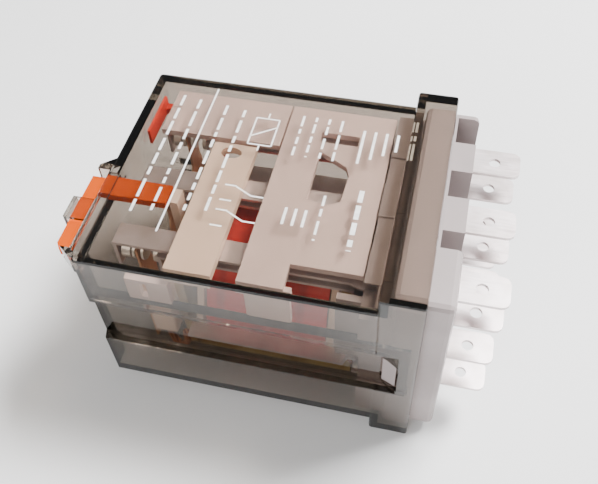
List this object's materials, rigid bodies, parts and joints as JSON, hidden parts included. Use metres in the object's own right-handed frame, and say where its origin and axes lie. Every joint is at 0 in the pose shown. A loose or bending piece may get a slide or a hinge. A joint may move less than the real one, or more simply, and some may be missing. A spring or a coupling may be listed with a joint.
{
  "type": "plug in relay",
  "caption": "Plug-in relay: smoky clear box cover with a flared skirt, flat blade terminals on a pale base, and an orange push-to-test lever in the end wall.",
  "frame": {"origin": "under the middle of the bounding box, on the plane of the skirt's lower wide face", "axes": "+X towards the terminal blades, +Z out of the marked wide face, -Y is the narrow side nearest the open end of the test lever"},
  "size_m": [0.062, 0.0384, 0.036],
  "materials": {
    "smoked_clear": "gloss, smoky transparent plastic",
    "pale_grey_plastic": "satin moulded",
    "cream_plastic": "satin moulded",
    "tinned_metal": "tinned, slightly dull",
    "copper": "bare copper alloy",
    "silver_contact": "dull silver",
    "plated_iron": "yellowish plated iron",
    "spring_steel": "bright wire",
    "red_tape": "tape over the winding",
    "red_plastic": "moulded indicator",
    "orange_plastic": "moulded lever"
  },
  "bodies": {
    "housing": {"cover": "smoked_clear", "base": "pale_grey_plastic", "contact_deck": "pale_grey_plastic", "side_rail": "pale_grey_plastic", "end_clip": "pale_grey_plastic", "insulating_bridge": "cream_plastic", "coil_bobbin": "cream_plastic", "coil_winding": "copper", "coil_tape": "red_tape", "core": "plated_iron", "yoke": "plated_iron", "return_spring": "spring_steel", "coil_terminal_1": "tinned_metal", "coil_terminal_2": "tinned_metal", "coil_lead_1": "copper", "coil_lead_2": "copper", "com_terminal_1": "tinned_metal", "nc_terminal_1": "tinned_metal", "no_terminal_1": "tinned_metal", "pigtail_1": "copper", "nc_contact_1": "silver_contact", "no_contact_1": "silver_contact", "com_terminal_2": "tinned_metal", "nc_terminal_2": "tinned_metal", "no_terminal_2": "tinned_metal", "pigtail_2": "copper", "nc_contact_2": "silver_contact", "no_contact_2": "silver_contact", "com_terminal_3": "tinned_metal", "nc_terminal_3": "tinned_metal", "no_terminal_3": "tinned_metal", "pigtail_3": "copper", "nc_contact_3": "silver_contact", "no_contact_3": "silver_contact"},
    "armature": {"armature": "plated_iron", "contact_carrier": "cream_plastic", "flag": "red_plastic", "moving_spring_1": "copper", "moving_spring_2": "copper", "moving_spring_3": "copper", "moving_contact_1": "silver_contact", "moving_contact_2": "silver_contact", "moving_contact_3": "silver_contact"},
    "lever": {"test_lever": "orange_plastic"}
  },
  "joints": [
    {"name": "armature_pivot", "type": "hinge", "parent": "housing", "child": "armature", "pos_m": [-0.01435, -0.0034, 0.0055], "axis": [0, 1, 0], "range_deg": [0, 3.4], "stiffness_Nm_per_rad": 0.02, "springref_deg": -20.05, "deforming": ["return_spring"]},
    {"name": "lever_slide", "type": "slide", "parent": "housing", "child": "lever", "axis": [1, 0, 0], "range_m": [0, 0.0015]}
  ],
  "couplings": [
    {"joint": "lever_slide", "follows": "armature_pivot", "m_per_rad": 0.0249}
  ]
}
